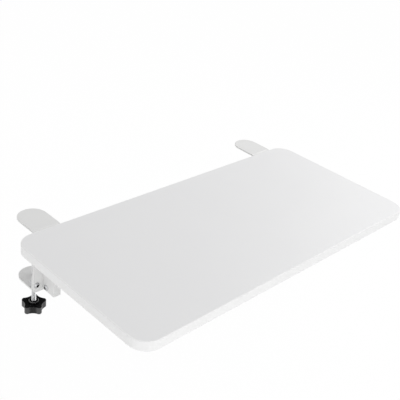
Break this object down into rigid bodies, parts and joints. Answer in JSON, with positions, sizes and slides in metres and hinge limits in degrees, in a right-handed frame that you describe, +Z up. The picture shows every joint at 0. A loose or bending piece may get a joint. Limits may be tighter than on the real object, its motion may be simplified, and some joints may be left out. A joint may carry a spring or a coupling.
{
  "type": "clamp-on desk extender",
  "caption": "White laminated tray board carried level with a desk by screw clamps, each with a tongue over the desk, a jaw below it, a channel rib and a black star knob.",
  "frame": {"origin": "middle of the tray's length, on the desk's front face and its top surface", "axes": "+X along the tray to the right of a user who faces the desk, +Y towards the desk, +Z up"},
  "size_m": [0.64, 0.371, 0.1834],
  "materials": {
    "core_board": "medium density fibreboard, raw",
    "laminate": "fine-grained white laminate sheet",
    "edge_band": "smooth white plastic edge band, rounded",
    "coated_steel": "white powder coat, satin",
    "zinc_steel": "bright zinc plate",
    "black_plastic": "moulded black thermoset plastic, semi-gloss",
    "brass_insert": "turned brass",
    "grip_pad": "thin pale anti-slip sheet",
    "foot_rubber": "moulded rubber cap"
  },
  "bodies": {
    "frame": {"tray_core": "core_board", "bottom_laminate": "laminate", "top_laminate": "laminate", "edge_band": "edge_band", "left_clamp_bracket": "coated_steel", "left_tongue_pad": "grip_pad", "left_lower_jaw": "coated_steel", "left_support_arm": "coated_steel", "left_arm_rib": "coated_steel", "left_fixing_lug": "coated_steel", "left_arm_screws": "zinc_steel", "left_jaw_weld_nut": "coated_steel", "left_jaw_bolts": "zinc_steel", "left_jaw_washers": "zinc_steel", "left_jaw_nuts": "zinc_steel", "left_rib_bolt": "zinc_steel", "left_rib_nut": "zinc_steel", "right_clamp_bracket": "coated_steel", "right_tongue_pad": "grip_pad", "right_lower_jaw": "coated_steel", "right_support_arm": "coated_steel", "right_arm_rib": "coated_steel", "right_fixing_lug": "coated_steel", "right_arm_screws": "zinc_steel", "right_jaw_weld_nut": "coated_steel", "right_jaw_bolts": "zinc_steel", "right_jaw_washers": "zinc_steel", "right_jaw_nuts": "zinc_steel", "right_rib_bolt": "zinc_steel", "right_rib_nut": "zinc_steel"},
    "left_foot": {"left_pad_disc": "zinc_steel", "left_pad_rubber": "foot_rubber"},
    "left_screw": {"left_clamp_screw": "zinc_steel", "left_star_knob": "black_plastic", "left_knob_insert": "brass_insert"},
    "right_foot": {"right_pad_disc": "zinc_steel", "right_pad_rubber": "foot_rubber"},
    "right_screw": {"right_clamp_screw": "zinc_steel", "right_star_knob": "black_plastic", "right_knob_insert": "brass_insert"}
  },
  "joints": [
    {"name": "left_pad_travel", "type": "slide", "parent": "frame", "child": "left_foot", "axis": [0, 0, 1], "range_m": [-0.054, 0.041]},
    {"name": "left_knob_turn", "type": "hinge", "parent": "left_foot", "child": "left_screw", "pos_m": [-0.258, 0.034, -0.1], "axis": [0, 0, 1], "range_deg": [-15600, 11850]},
    {"name": "right_pad_travel", "type": "slide", "parent": "frame", "child": "right_foot", "axis": [0, 0, 1], "range_m": [-0.054, 0.041]},
    {"name": "right_knob_turn", "type": "hinge", "parent": "right_foot", "child": "right_screw", "pos_m": [0.258, 0.034, -0.1], "axis": [0, 0, 1], "range_deg": [-15600, 11850]}
  ],
  "couplings": [
    {"joint": "left_knob_turn", "follows": "left_pad_travel", "rad_per_m": 5026.5},
    {"joint": "right_knob_turn", "follows": "right_pad_travel", "rad_per_m": 5026.5}
  ]
}
